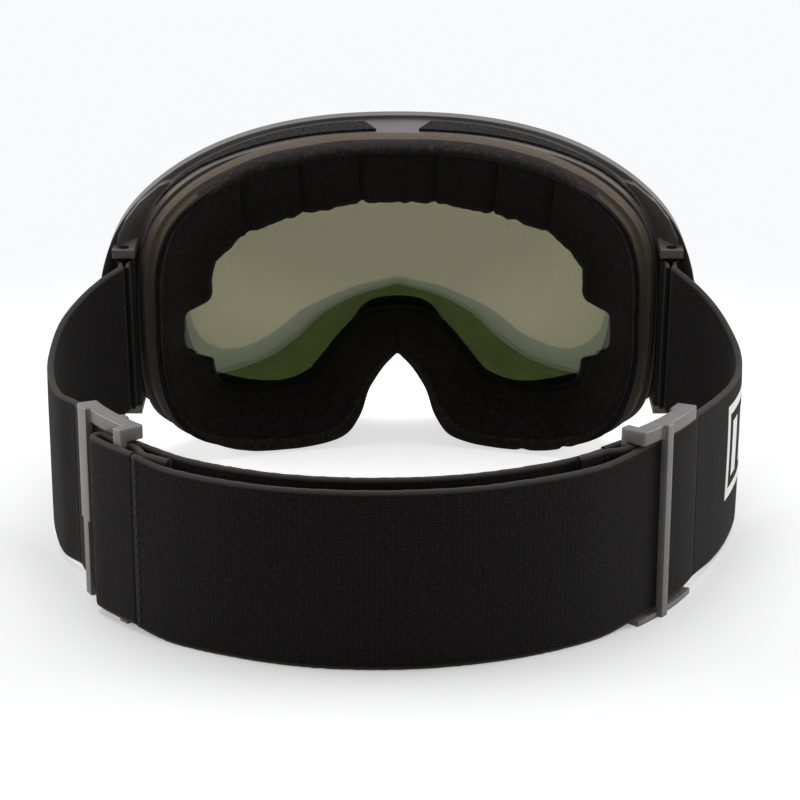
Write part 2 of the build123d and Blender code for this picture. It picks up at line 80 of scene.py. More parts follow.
# ---- the strap ----
BACK_X = -5.0
BACK_Y = HEAD_Y - 72.5
INNER_RADIUS = 82.8
OUTER_RADIUS = 88.8
SLIDER_ANGLE = 54.8
STRAP_MIDDLE = 24.8
PIN_X = 80.0
PIN_DEPTH = -11.5
PIN_MIDDLE = 46.5
SEAM_ANGLE = 41.6           # rows of stitches, at both sides of the back
STITCHES = 17               # in a row, drawn bigger than real thread so that they show
STITCH_PITCH = 2.6
STITCH_SIZE = (0.9, 0.6, 2.0)


def head(x, forward, up):
    """Point of the leaning head in the shared frame, metres."""
    y = HEAD_Y + forward * cos(LEAN) - up * sin(LEAN)
    z = forward * sin(LEAN) + up * cos(LEAN)
    return Vector((x, y, z)) * MM


def wrap(x, front, radius):
    """Depth of a wrapped surface at a distance from the middle."""
    return front - radius + sqrt(radius**2 - min(abs(x), radius) ** 2)


def step(value, low, high):
    """Smooth 0 to 1 between two values."""
    t = min(max((value - low) / (high - low), 0), 1)
    return t * t * (3 - 2 * t)


def mix(a, b, share):
    return a + (b - a) * share


# ---- materials ----
def rgb(code):
    """Linear colour from an sRGB hex value such as "2a2b2c"; a colour that is linear already is kept."""
    if not isinstance(code, str):
        return list(code)
    parts = [int(code[i:i + 2], 16) / 255 for i in (0, 2, 4)]
    return [p / 12.92 if p <= 0.04045 else ((p + 0.055) / 1.055) ** 2.4 for p in parts] + [1.0]


def add_node(tree, kind, inputs=(), stops=(), **settings):
    """Add a node with its settings and links.

    Inputs is a list of (input, socket or value), stops is a colour ramp's list of (place, colour), and a setting
    is an input or a property by its name.
    """
    node = tree.nodes.new(kind)
    for key, value in settings.items():
        name = key.replace("_", " ")
        if name in node.inputs:
            node.inputs[name].default_value = value
        else:
            setattr(node, key, value)
    for target, value in inputs:
        if isinstance(value, bpy.types.NodeSocket):
            tree.links.new(value, node.inputs[target])
        else:
            node.inputs[target].default_value = value
    if stops:
        elements = node.color_ramp.elements
        while len(elements) < len(stops):
            elements.new(0.5)
        for element, (place, colour) in zip(elements, stops):
            element.position = place
            element.color = rgb(colour)
    return node


class Finish:
    """A material with its Principled shader."""

    def __init__(self, name, colour, **values):
        self.material = bpy.data.materials.new(name)
        self.material.use_nodes = True
        self.tree = self.material.node_tree
        self.shader = self.tree.nodes["Principled BSDF"]
        self.shader.inputs["Base Color"].default_value = rgb(colour)
        for key, value in values.items():
            self.shader.inputs[key.replace("_", " ")].default_value = value

    def add(self, kind, inputs=(), stops=(), **settings):
        return add_node(self.tree, kind, inputs, stops, **settings)

    def drive(self, name, socket):
        self.tree.links.new(socket, self.shader.inputs[name])


def moulded_rubber(light):
    """Injection-moulded TPU: satin warm grey with a fine spark-eroded grain and slightly softened edges.

    The grain is about 0.6 mm across, and the clouds of wear and handling about 30 mm.
    """
    finish = Finish("moulded TPU, spark-eroded grain", "524e4a", Roughness=0.42)
    place = finish.add("ShaderNodeTexCoord").outputs["Object"]
    grain = finish.add("ShaderNodeTexNoise", [("Vector", place)], Scale=1800.0, Detail=3.0)
    cloud = finish.add("ShaderNodeTexNoise", [("Vector", place)], Scale=35.0, Detail=4.0)
    shade = finish.add("ShaderNodeValToRGB", [("Fac", cloud.outputs["Fac"])], [(0.35, "4b4744"), (0.7, light)])
    finish.drive("Base Color", shade.outputs["Color"])
    rough = finish.add("ShaderNodeMapRange", [("Value", cloud.outputs["Fac"])], To_Min=0.36, To_Max=0.48)
    finish.drive("Roughness", rough.outputs["Result"])
    edge = finish.add("ShaderNodeBevel", samples=6, Radius=0.5 * MM)
    relief = [("Height", grain.outputs["Fac"]), ("Normal", edge.outputs["Normal"])]
    bump = finish.add("ShaderNodeBump", relief, Strength=0.2, Distance=0.05 * MM)
    finish.drive("Normal", bump.outputs["Normal"])
    return finish.material


def moulded_acetal(light):
    """Injection-moulded acetal: lighter and a little glossier than the frame, with faint flow marks.

    The flow marks are about 11 mm long, and the grain about 0.7 mm.
    """
    finish = Finish("moulded acetal", "5f5c58", Roughness=0.4)
    place = finish.add("ShaderNodeTexCoord").outputs["Object"]
    cloud = finish.add("ShaderNodeTexNoise", [("Vector", place)], Scale=90.0, Detail=4.0)
    shade = finish.add("ShaderNodeValToRGB", [("Fac", cloud.outputs["Fac"])], [(0.3, "56534f"), (0.7, light)])
    finish.drive("Base Color", shade.outputs["Color"])
    grain = finish.add("ShaderNodeTexNoise", [("Vector", place)], Scale=1500.0, Detail=2.0)
    bump = finish.add("ShaderNodeBump", [("Height", grain.outputs["Fac"])], Strength=0.15, Distance=0.04 * MM)
    finish.drive("Normal", bump.outputs["Normal"])
    return finish.material


def steel_wire():
    """Drawn steel wire, black oxide: dark, with faint lines 0.25 mm apart along the draw."""
    finish = Finish("drawn steel wire, black oxide", "2a2a2c", Metallic=1.0, Roughness=0.35)
    place = finish.add("ShaderNodeTexCoord").outputs["Object"]
    turn = finish.add("ShaderNodeMapping", [("Vector", place)], Scale=(4000.0, 4000.0, 60.0))
    lines = finish.add("ShaderNodeTexNoise", [("Vector", turn.outputs["Vector"])], Scale=1.0)
    bump = finish.add("ShaderNodeBump", [("Height", lines.outputs["Fac"])], Strength=0.2, Distance=0.02 * MM)
    finish.drive("Normal", bump.outputs["Normal"])
    return finish.material


def foam_cells(name, dark, light, cell_mm, depth_mm):
    """Cut foam: open cells of a real size, darker inside than on their walls."""
    finish = Finish(name, light, Roughness=0.95, Specular_IOR_Level=0.12)
    place = finish.add("ShaderNodeTexCoord").outputs["Object"]
    cells = finish.add("ShaderNodeTexVoronoi", [("Vector", place)], Scale=1000.0 / cell_mm)
    blotch = finish.add("ShaderNodeTexNoise", [("Vector", place)], Scale=420.0 / cell_mm, Detail=5.0, Roughness=0.7)
    layers = [(0, cells.outputs["Distance"]), (1, blotch.outputs["Fac"])]
    both = finish.add("ShaderNodeMath", layers, operation="MULTIPLY")
    shade = finish.add("ShaderNodeValToRGB", [("Fac", both.outputs["Value"])], [(0.1, dark), (0.36, light)])
    finish.drive("Base Color", shade.outputs["Color"])
    bump = finish.add("ShaderNodeBump", [("Height", cells.outputs["Distance"])], Strength=0.6, Distance=depth_mm * MM)
    finish.drive("Normal", bump.outputs["Normal"])
    return finish.material


def brushed_fleece(name, dark, middle, light):
    """Brushed polyester fleece on foam: black pile with fine grey flecks painted as the pile catching light, and
    painted shade, near black, where the mesh's groove attribute asks for it.

    The pile's flecks are about 0.8 mm and its tufts about 2 mm, coarser than real pile so that they show.
    """
    finish = Finish(name, middle, Roughness=1.0, Specular_IOR_Level=0.1, Sheen_Weight=0.06, Sheen_Roughness=0.4)
    finish.shader.inputs["Sheen Tint"].default_value = rgb("b8b2aa")
    place = finish.add("ShaderNodeTexCoord").outputs["Object"]
    pile = finish.add("ShaderNodeTexNoise", [("Vector", place)], Scale=1300.0, Detail=3.0, Roughness=0.7)
    tufts = finish.add("ShaderNodeTexNoise", [("Vector", place)], Scale=520.0, Detail=4.0, Roughness=0.7)
    layers = [(0, pile.outputs["Fac"]), (1, tufts.outputs["Fac"])]
    flecks = finish.add("ShaderNodeMath", layers, operation="MULTIPLY").outputs["Value"]
    shade = finish.add("ShaderNodeValToRGB", [("Fac", flecks)], [(0.18, dark), (0.3, middle), (0.42, light)])
    # Painted shade: the groove attribute mixes the colour towards near black 060606 in the lining's grooves, creases,
    # lower lip and back rows.
    groove = finish.add("ShaderNodeAttribute", attribute_name="groove")
    layers = [(0, groove.outputs["Fac"]), (6, shade.outputs["Color"]), (7, rgb("060606"))]
    finish.drive("Base Color", finish.add("ShaderNodeMix", layers, data_type="RGBA").outputs[2])
    bump = finish.add("ShaderNodeBump", [("Height", flecks)], Strength=0.45, Distance=0.25 * MM)
    finish.drive("Normal", bump.outputs["Normal"])
    return finish.material


def knitted_webbing(name, light, mark=None):
    """Knitted polyester and rubber webbing: matt black, its courses short dashes, with corded selvages that carry a
    painted highlight.

    The piece's UV runs along the strap in u and across it in v, in tenths of a metre. Its wales are 1.3 mm and its
    courses 0.8 mm apart, a little coarser than real ones so that they show. A mark is the colour of its print.
    """
    finish = Finish(name, "161617", Roughness=0.95, Specular_IOR_Level=0.12, Sheen_Weight=0.07)
    finish.shader.inputs["Sheen Tint"].default_value = rgb("9c9a9a")
    place = finish.add("ShaderNodeUVMap", uv_map="Run").outputs["UV"]
    parts = finish.add("ShaderNodeSeparateXYZ", [("Vector", place)])
    turn = finish.add(
        "ShaderNodeMapping", [("Vector", place)], Scale=(75.0, 260.0, 1.0), Rotation=(0, 0, radians(4)))
    dashes = finish.add("ShaderNodeTexNoise", [("Vector", turn.outputs["Vector"])], Scale=1.0, Detail=1.5)
    wales = finish.add(
        "ShaderNodeTexWave", [("Vector", place)], bands_direction="X",
        Scale=24.0, Distortion=1.5, Detail=2.0, Detail_Scale=30.0)
    courses = finish.add(
        "ShaderNodeTexWave", [("Vector", place)], bands_direction="Y",
        Scale=38.0, Distortion=2.0, Detail=2.0, Detail_Scale=20.0)
    layers = [(0, wales.outputs["Fac"]), (1, courses.outputs["Fac"])]
    knit = finish.add("ShaderNodeMath", layers, operation="MULTIPLY")
    over = [(0, knit.outputs["Value"]), (1, 0.22), (2, dashes.outputs["Fac"])]
    relief = finish.add("ShaderNodeMath", over, operation="MULTIPLY_ADD").outputs["Value"]
    shade = finish.add("ShaderNodeValToRGB", [("Fac", relief)], [(0.32, "0a0909"), (0.56, "131110"), (0.78, light)])
    # Painted highlight: a lighter line, 3e3b37, along both edges of the strap, from 21.9 mm off its middle.
    off_middle = finish.add("ShaderNodeMath", [(0, parts.outputs["Y"])], operation="ABSOLUTE")
    edge = finish.add("ShaderNodeMapRange", [("Value", off_middle.outputs["Value"])], From_Min=0.219, From_Max=0.225)
    layers = [(0, edge.outputs["Result"]), (6, shade.outputs["Color"]), (7, rgb("3e3b37"))]
    shown = finish.add("ShaderNodeMix", layers, data_type="RGBA").outputs[2]
    if mark is not None:
        shown = printed_panel(finish, parts, shown, mark)
    finish.drive("Base Color", shown)
    bump = finish.add("ShaderNodeBump", [("Height", relief)], Strength=0.5, Distance=0.25 * MM)
    finish.drive("Normal", bump.outputs["Normal"])
    return finish.material


def printed_panel(finish, parts, under, mark):
    """Screen print on the outside of the strap: a plain frame round four upright bars."""
    def joined(operation, a, b):
        """One mask from two, or from one and a limit."""
        return finish.add("ShaderNodeMath", [(0, a), (1, b)], operation=operation).outputs["Value"]

    def within(socket, low, high):
        return joined("MULTIPLY", joined("GREATER_THAN", socket, low), joined("LESS_THAN", socket, high))

    def block(left, right, low, high):
        return joined("MULTIPLY", within(parts.outputs["X"], left, right), within(parts.outputs["Y"], low, high))

    inked = joined("SUBTRACT", block(0.18, 0.68, -0.09, 0.18), block(0.205, 0.655, -0.062, 0.152))
    for left in (0.24, 0.35, 0.46, 0.57):
        inked = joined("ADD", inked, block(left, left + 0.055, -0.035, 0.125))
    outer = finish.add("ShaderNodeAttribute", attribute_name="outer_face")
    shown = joined("MULTIPLY", inked, outer.outputs["Fac"])
    return finish.add("ShaderNodeMix", [(0, shown), (6, under), (7, rgb(mark))], data_type="RGBA").outputs[2]


def sewing_thread():
    """Bonded polyester thread: black, twisted every 0.3 mm, a little glossier than the webbing."""
    finish = Finish("bonded polyester thread", "0c0c0c", Roughness=0.6, Specular_IOR_Level=0.2)
    place = finish.add("ShaderNodeTexCoord").outputs["Object"]
    twist = finish.add("ShaderNodeTexNoise", [("Vector", place)], Scale=3000.0, Detail=2.0)
    shade = finish.add("ShaderNodeValToRGB", [("Fac", twist.outputs["Fac"])], [(0.3, "070707"), (0.7, "141313")])
    finish.drive("Base Color", shade.outputs["Color"])
    bump = finish.add("ShaderNodeBump", [("Height", twist.outputs["Fac"])], Strength=0.4, Distance=0.05 * MM)
    finish.drive("Normal", bump.outputs["Normal"])
    return finish.material


def see_through(name, tint, gloss, share):
    """Clear moulded plastic, polished: what is behind it shows through a tint, under a share of gloss."""
    material = bpy.data.materials.new(name)
    material.use_nodes = True
    tree = material.node_tree
    tree.nodes.clear()
    clear = add_node(tree, "ShaderNodeBsdfTransparent", Color=rgb(tint))
    shine = add_node(tree, "ShaderNodeBsdfGlossy", Color=rgb(gloss), Roughness=0.03)
    both = add_node(tree, "ShaderNodeMixShader", [(1, clear.outputs["BSDF"]), (2, shine.outputs["BSDF"])], Fac=share)
    add_node(tree, "ShaderNodeOutputMaterial", [("Surface", both.outputs["Shader"])])
    return material


# ---- shapes ----
def outline(half_width, top, bottom, nose_top, nose_half):
    """Points (x, height) round a goggle outline: a broad brow, two cheeks and a notch for the nose."""
    height = top - bottom
    notch = nose_top - bottom
    right = [
        (0, top),
        (0.29 * half_width, top - 0.005 * height),
        (0.58 * half_width, top - 0.036 * height),
        (0.80 * half_width, top - 0.100 * height),
        (0.93 * half_width, top - 0.185 * height),
        (0.985 * half_width, top - 0.290 * height),
        (half_width, top - 0.440 * height),
        (0.985 * half_width, top - 0.700 * height),
        (0.915 * half_width, top - 0.860 * height),
        (0.780 * half_width, top - 0.950 * height),
        (0.500 * half_width, bottom),
        (nose_half + 0.05 * half_width, bottom + 0.09 * notch),
        (0.88 * nose_half, bottom + 0.32 * notch),
        (0.60 * nose_half, bottom + 0.68 * notch),
        (0, nose_top),
    ]
    return mirrored(right)


def mirrored(right):
    """The whole closed outline from the points of its right half."""
    return right + [(-x, up) for x, up in right[-2:0:-1]]


def curve_point(p, share):
    """Point between the middle two of four points, on a smooth curve through them all."""
    knots = [0.0]
    for a, b in zip(p, p[1:]):
        knots.append(knots[-1] + max((b - a).length, 0.001) ** 0.5)
    at = mix(knots[1], knots[2], share)
    first = [mix(p[k], p[k + 1], (at - knots[k]) / (knots[k + 1] - knots[k])) for k in range(3)]
    second = [mix(first[k], first[k + 1], (at - knots[k]) / (knots[k + 2] - knots[k])) for k in range(2)]
    return mix(second[0], second[1], (at - knots[1]) / (knots[2] - knots[1]))


def smooth_loop(points, steps):
    """Closed smooth curve, with as many points on each stretch."""
    count = len(points)
    knots = [Vector(p) for p in points]
    found = []
    for index in range(count):
        four = [knots[(index + k) % count] for k in (-1, 0, 1, 2)]
        found += [curve_point(four, k / steps) for k in range(steps)]
    return found


def smooth_path(points, spacing):
    """Open smooth curve through points, with its own points about evenly spaced."""
    ends = [points[0] * 2 - points[1], *points, points[-1] * 2 - points[-2]]
    found = []
    for index in range(len(points) - 1):
        four = ends[index:index + 4]
        steps = max(round((four[2] - four[1]).length / spacing), 1)
        found += [curve_point(four, k / steps) for k in range(steps)]
    return found + [points[-1]]


def skin(name, rows, along, across, closed, material):
    """Mesh over rows of section points; each section is a closed loop, and the rows may close too.

    The UV map Run holds the distance along and across, in tenths of a metre.
    """
    mesh = bmesh.new()
    run = mesh.loops.layers.uv.new("Run")
    points = [[mesh.verts.new(p) for p in row] for row in rows]
    if closed:
        points.append(points[0])
    for r, (row, following) in enumerate(zip(points, points[1:])):
        for s in range(len(row)):
            t = (s + 1) % len(row)
            face = mesh.faces.new((row[s], row[t], following[t], following[s]))
            marks = ((r, s), (r, s + 1), (r + 1, s + 1), (r + 1, s))
            for corner, (a, b) in zip(face.loops, marks):
                corner[run].uv = (along[a], across[b])
    if not closed:
        half = len(points[0]) // 2
        for row in (points[0], points[-1]):
            for s in range(half - 1):
                mesh.faces.new((row[s], row[s + 1], row[-2 - s], row[-1 - s]))
    bmesh.ops.recalc_face_normals(mesh, faces=mesh.faces)
    data = bpy.data.meshes.new(name)
    mesh.to_mesh(data)
    mesh.free()
    data.materials.append(material)
    piece = bpy.data.objects.new(name, data)
    bpy.context.collection.objects.link(piece)
    for face in data.polygons:
        face.use_smooth = True
    return piece


def only(piece):
    """Select one piece and nothing else."""
    bpy.ops.object.select_all(action="DESELECT")
    piece.select_set(True)
    bpy.context.view_layer.objects.active = piece


def finished_copy(node, name, material, bevel, above=None, rounded=0):
    """Merged and bevelled copy of a CAD node, which it replaces; edges above a height may be rounded more."""
    data = frame["nodes"][node].data.copy()
    data.name = name
    piece = bpy.data.objects.new(name, data)
    bpy.context.collection.objects.link(piece)
    only(piece)
    bpy.ops.mesh.customdata_custom_splitnormals_clear()
    bpy.ops.object.mode_set(mode="EDIT")
    bpy.ops.mesh.select_all(action="SELECT")
    bpy.ops.mesh.remove_doubles(threshold=0.00001)
    bpy.ops.mesh.dissolve_limited(angle_limit=radians(0.5))
    if above:
        bpy.ops.mesh.select_mode(type="EDGE")
        bpy.ops.mesh.select_all(action="DESELECT")
        mesh = bmesh.from_edit_mesh(data)
        for edge in mesh.edges:
            if edge.calc_face_angle(0) > radians(40) and all(corner.co.z > above * MM for corner in edge.verts):
                edge.select_set(True)
        bmesh.update_edit_mesh(data)
        bpy.ops.mesh.bevel(offset=rounded * MM, segments=4, affect="EDGES", clamp_overlap=True)
    bpy.ops.object.mode_set(mode="OBJECT")
    if bevel:
        rounding = piece.modifiers.new("Edges", "BEVEL")
        rounding.width = bevel * MM
        rounding.segments = 3
        rounding.limit_method = "ANGLE"
        rounding.angle_limit = radians(40)
        bpy.ops.object.modifier_apply(modifier="Edges")
    bpy.ops.object.shade_smooth_by_angle(angle=radians(35))
    data.materials.clear()
    data.materials.append(material)
    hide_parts(node)
    return piece


def curve_upright(data):
    """Turn the outer lens's normals as its slight upright curve does: the coated front looks down at its foot."""
    turned = []
    for face in data.polygons:
        side = -1 if face.material_index else 1
        for corner in face.loop_indices:
            spot = data.vertices[data.loops[corner].vertex_index].co
            low = LENS_MIDDLE - LENS_SIDE * spot.x**2 - spot.z
            tilt = Vector((0, 0, side * LENS_CURVE * low))
            turned.append((data.corner_normals[corner].vector + tilt).normalized())
    data.normals_split_custom_set(turned)


def paint(node, material):
    """Give a CAD node that keeps its shape its finish."""
    data = frame["nodes"][node].data
    data.materials.clear()
    data.materials.append(material)


def lengths(points, closed=False):
    """Distance to each point along a run, in tenths of a metre."""
    found = [0.0]
    run = points + points[:1] if closed else points
    for a, b in zip(run, run[1:]):
        found.append(found[-1] + (b - a).length * 10)
    return found


# ---- face foam ----
STEPS = 34
SEAT_OUTLINE = (76.7, 96.6, 0.3, 27, 16.5)
FACE_OUTLINE = (72.4, 97.0, 0, 29.5, 13)
EYE_OPENING = smooth_loop(outline(66, 91, 12, 33.5, 20), STEPS)
CREASES = (((47, 15), (53, -1)), ((33, 6), (42, -2)))


def foam_outline(share):
    """The foam's outside, a share of the way from its seat to the face."""
    return smooth_loop(outline(*(mix(a, b, share) for a, b in zip(SEAT_OUTLINE, FACE_OUTLINE))), STEPS)


def foam_point(index, share, inward, outer):
    """Point on the foam: share goes from its seat to the face, inward from its outside to the eyes."""
    place = mix(outer[index], EYE_OPENING[index], inward)
    depth = mix(wrap(place.x, SEAT_FRONT, SEAT_RADIUS), wrap(place.x, FACE_FRONT, FACE_RADIUS), share)
    return head(place.x, depth, place.y)


def crease(x, up):
    """How deep the foam's creases and its fold over the nose are here, from 0 to 1."""
    deep = exp(-((x / 1.3) ** 2)) * (1 - step(up, 36, 42))
    for start, end in CREASES:
        start, end = Vector(start), Vector(end)
        run = end - start
        share = min(max((Vector((x, up)) - start).dot(run) / run.dot(run), 0), 1)
        away = (Vector((x, up)) - start - run * share).length
        deep = max(deep, exp(-((away / 1.1) ** 2)) * (0.4 + 0.6 * share))
    return deep


def side_of(x):
    """How far a point lies towards the temples, from 0 to 1."""
    return step(abs(x), 42, 72)


def settled(point, waver):
    """The point on the worn foam: slightly uneven, creased, and flat where it stands on the ground."""
    wave = noise.noise(point * 70) * 0.7 + noise.noise(point * 260) * 0.3
    away = (point - head(0, 14, 50)).normalized()
    up = point.z / MM
    point = point + away * (wave * waver - 0.9 * crease(point.x / MM, up)) * MM
    point.z = max(point.z, 0.0002)
    return point


def foam_ring(name, section, material, waver, bare=0):
    """Ring of foam through a section of (share, inward) points; it may leave a strip bare at the temples."""
    rails = []
    for share, inward in section:
        outer = foam_outline(share)
        moved = bare * (1 - step(inward, 0, 0.36))
        rail = []
        for i, spot in enumerate(outer):
            aside = moved * side_of(spot.x) / (EYE_OPENING[i] - spot).length
            rail.append(settled(foam_point(i, share, inward + aside, outer), waver))
        rails.append(rail)
    rows = [list(row) for row in zip(*rails)]
    return skin(name, rows, lengths(rails[0], True), lengths(rows[0], True), True, material)


LIP = mirrored([
    (0, 71.4), (12, 71.5), (21, 70.2), (29, 69.2), (36, 67.9), (43, 66.2), (47.6, 65.2), (50.3, 62.8),
    (53.6, 60.2), (55.6, 57.6), (56.4, 54), (56.5, 49.5), (57.4, 47.4), (60.5, 46.3), (63.8, 45.4),
    (64.5, 41), (64.4, 35.5), (62.6, 32), (59.5, 29.8), (57, 28), (56.4, 24.5), (55.6, 20.8),
    (52.6, 18), (48.8, 16), (43, 15), (36.5, 14.9), (31.5, 14.9), (28.2, 16.1), (24.6, 20.4),
    (20.8, 25), (16.8, 29.7), (12.8, 33.7), (8.8, 36), (4.5, 37), (0, 37.1),
])
LIP_MARKS = mirrored([
    (0, 71), (17, 71.3), (33, 69), (45.5, 65), (53, 60), (56, 54), (57, 47.5), (57, 28), (56.3, 22),
    (48, 15.5), (38, 14.5), (29.5, 16), (22, 23.5), (14, 32.5), (0, 38),
])


def lens_lip():
    """Outline of the lining's lip beside the lens, as many points between two of its marks as the foam has."""
    line = smooth_loop(LIP, 12)
    starts = [min(range(len(line)), key=lambda i: (line[i] - Vector(mark)).length) for mark in LIP_MARKS]
    found = []
    for low, high in zip(starts, starts[1:] + [len(line)]):
        for k in range(STEPS):
            at = low + (high - low) * k / STEPS
            found.append(mix(line[int(at)], line[(int(at) + 1) % len(line)], at - int(at)))
    return found


LENS_OPENING = lens_lip()
GROOVES = (-45.1, -28.2, -10.7, 11.0, 28.5, 44.8)
LIP_FRONT = 32.4
LIP_RADIUS = 86.5


def lens_opening_point(index, outward, forward):
    """Point on the lining's lip beside the lens, cut a little unevenly over the brow."""
    place = LENS_OPENING[index].copy()
    brow = step(place.y, 52, 58)
    ragged = noise.noise(Vector((place.x * 0.4, place.y * 0.4, 3.1)))
    place += place.normalized() * (brow * 0.55 + 0.15) * ragged
    place.y += brow * 0.8 * (noise.noise(Vector((panel_of(place.x), 2.3, 4.1))) - 0.1)
    away = (place - Vector((0, 45))).normalized()
    place += away * outward
    return head(place.x, wrap(place.x, LIP_FRONT, LIP_RADIUS) + forward, place.y)


def lining_ring(material, waver):
    """Foam lining from the face edge of the fleece down to its lip beside the lens, in panels over the brow."""
    face = foam_outline(1.0)
    forwards = head(0, 1, 0) - head(0, 0, 0)
    hub = head(0, 26, 48)
    rows = []
    dark = []
    for index in range(len(LENS_OPENING)):
        low = 1 - step(face[index].y, 22, 52)
        start = foam_point(index, 0.99, 0.14, face)
        turn = foam_point(index, 1.12, mix(0.85, 0.8, low), face)
        end = lens_opening_point(index, 0, 0)
        over = (1 - low) * (0.5 + 0.8 * noise.noise(Vector((panel_of(start.x / MM), 7.3, 1.9))))
        row = []
        valleys = []
        for k in range(20):
            share = (k / 19) ** 1.15
            point = start * (1 - share) ** 2 + turn * 2 * share * (1 - share) + end * share**2
            out = (point - hub).normalized()
            valley = max(exp(-(((point.x / MM - g) / 0.9) ** 2)) for g in GROOVES) * step(face[index].y, 55, 70)
            bead = exp(-(((share - 0.81) / 0.05) ** 2)) * low
            cut = step(share, 0.05, 0.3) * (1.2 + 1.6 * sin(pi * min(share + 0.15, 1)))
            valleys.append(valley)
            push = valley * cut - 0.7 * bead - over * exp(-share * 9)
            row.append(settled(point + out * push * MM, waver * (1 - share * 0.6)))
            # Painted shade: near black in the grooves between the brow panels, along the creases, and in a strip along
            # the lower lip beside the lens.
            dark.append(max(valley * 0.85, 0.6 * crease(point.x / MM, point.z / MM), low * step(share, 0.88, 0.93)))
        row.append(lens_opening_point(index, 0.5, 0.9))
        row.append(lens_opening_point(index, 2.0, 1.1))
        for k, thick in ((14, 1.8), (9, 1.8), (3, 1.0)):
            thick *= 1 - 0.6 * valleys[k]
            row.append(row[k] + (row[k] - hub).normalized() * thick * MM + forwards * 1.6)
        # Painted shade: the hidden back rows are near black.
        dark += [1.0] * 5
        rows.append(row)
    tops = [row[0] for row in rows]
    piece = skin("vent_lining_foam", rows, lengths(tops, True), lengths(rows[0], True), True, material)
    # The groove attribute carries this painted shade to the fleece.
    piece.data.attributes.new("groove", "FLOAT", "POINT").data.foreach_set("value", dark)
    return piece


def panel_of(x):
    """Number of the brow panel at a distance from the middle."""
    return sum(x > groove for groove in GROOVES) * 3.7


# ---- strap ----
def polar(radius, angle, height=STRAP_MIDDLE):
    """Point round the strap's back; angles count from straight back."""
    turn = radians(angle)
    return Vector((BACK_X + radius * sin(turn), BACK_Y - radius * cos(turn), height))


def back_sag(angle):
    """How far the back of the strap has sunk, as a share of its most; it hangs between the sliders."""
    return step(angle, -46, -34) * (1 - step(angle, 38, 52))


def band(name, spine, width, thickness, material, ripple=0.5, uprights=None):
    """Strap along a spine of points, millimetres, with rounded selvages and a slight ripple."""
    edge = 15
    inset = (0, 0.3, 0.9)
    flat = width / 2 - inset[-1]
    spots = [-width / 2 + gap for gap in inset[:-1]]
    spots += [flat * (2 * k / (edge - 5) - 1) for k in range(edge - 4)]
    spots += [width / 2 - gap for gap in inset[-2::-1]]
    rows = []
    for index, middle in enumerate(spine):
        ahead = spine[min(index + 1, len(spine) - 1)] - spine[max(index - 1, 0)]
        upright = uprights[index] if uprights else Vector((0, 0, 1))
        out = ahead.cross(upright).normalized()
        ends = min(index, len(spine) - 1 - index, 12) / 12
        faces = ([], [])
        for k, spot in enumerate(spots):
            place = middle + upright * spot
            wave = noise.noise(Vector((place.x, place.y, place.z * 0.7)) / 26) * ripple * ends
            half = thickness / 2 * (0.45 if k in (0, edge - 1) else 0.85 if k in (1, edge - 2) else 1.0)
            fray = noise.noise(place * 0.9) * 0.12 * (1 if k in (0, edge - 1) else 0)
            for side, face in zip((1, -1), faces):
                face.append((place + out * (wave + side * half) + upright * fray) * MM)
        rows.append(faces[0] + faces[1][::-1])
    along = lengths([point * MM for point in spine])
    across = [s / 100 for s in spots] + [s / 100 for s in spots[::-1]] + [spots[0] / 100]
    piece = skin(name, rows, along, across, False, material)
    middle = Vector((BACK_X, HEAD_Y - 40, STRAP_MIDDLE))
    marks = []
    for row, spot in zip(rows, spine):
        first = (row[edge // 2] - row[-1 - edge // 2]).dot(spot - middle) > 0
        marks += [float(first)] * edge + [float(not first)] * edge
    piece.data.attributes.new("outer_face", "FLOAT", "POINT").data.foreach_set("value", marks)
    return piece


HEAD_UP = Vector((0, -sin(LEAN), cos(LEAN)))
FACES_UP = 0.6              # least share of a normal that counts as facing up


def side_route(side, stations, end_radius, end_angle):
    """Spine and uprights of a side strap, from its pin to the back's arc."""
    start = head(side * PIN_X, PIN_DEPTH - 7.1, PIN_MIDDLE) / MM
    end = polar(end_radius, end_angle)
    route = [start]
    for share, bulge, drop in stations:
        along = mix(start, end, share)
        route.append(Vector((along.x + side * bulge, along.y, start.z - drop)))
    route.append(end)
    route.append(polar(end_radius, end_angle - side * 6))
    spine = smooth_path(route, 1.2)
    cut = max(i for i, p in enumerate(spine) if (p - end).length > 0.5 and p.y > end.y) + 1
    spine = spine[:cut] + [end]
    uprights = [mix(HEAD_UP, Vector((0, 0, 1)), step(i, 0, 18)).normalized() for i in range(len(spine))]
    return spine, uprights


# Round a pin: distance outwards and forwards of it.
ROUND_PIN = ((-1.4, -7.2), (-1.5, -3), (-2.3, 0), (0, 2.3), (2.3, 0), (0.8, -3), (0.7, -7.2))
# Along a side strap: share of its way, bulge outwards and drop.
LEFT_STATIONS = (
    (0.10, 4.8, 2.3),
    (0.22, 9.2, 5.6),
    (0.38, 12.9, 10.4),
    (0.55, 13.5, 15.8),
    (0.73, 10.7, 18.6),
    (0.88, 6.4, 19.6),
)
RIGHT_STATIONS = (
    (0.12, 6.6, 4.2),
    (0.24, 12.6, 9.8),
    (0.36, 16.2, 15.8),
    (0.48, 16.0, 18.8),
    (0.64, 12.6, 20.0),
    (0.82, 6.8, 20.0),
)


# ---- the add-on's values ----
def length_property(name, description, millimetres):
    return bpy.props.FloatProperty(name=name, description=description, default=millimetres * MM, unit="LENGTH")


def colour_property(name, description, code):
    return bpy.props.FloatVectorProperty(
        name=name, description=description, default=rgb(code), subtype="COLOR", size=4, min=0, max=1)


class GoggleSizes(bpy.types.PropertyGroup):
    """Sizes that a user may change."""
    strap_width: length_property("Strap width", "Width of the elastic strap", 46)
    strap_thickness: length_property("Strap thickness", "Thickness of the elastic strap", 1.8)
    strap_ripple: length_property("Strap ripple", "How far the strap waves off its line", 0.6)
    edge_round: length_property("Edge rounding", "Radius on the edges of the sliders", 0.6)
    foam_waver: length_property("Foam waver", "Unevenness of the moulded foam", 0.35)
    filter_swell: length_property("Filter swell", "How far the soft top filters swell up past their seats", 1.6)


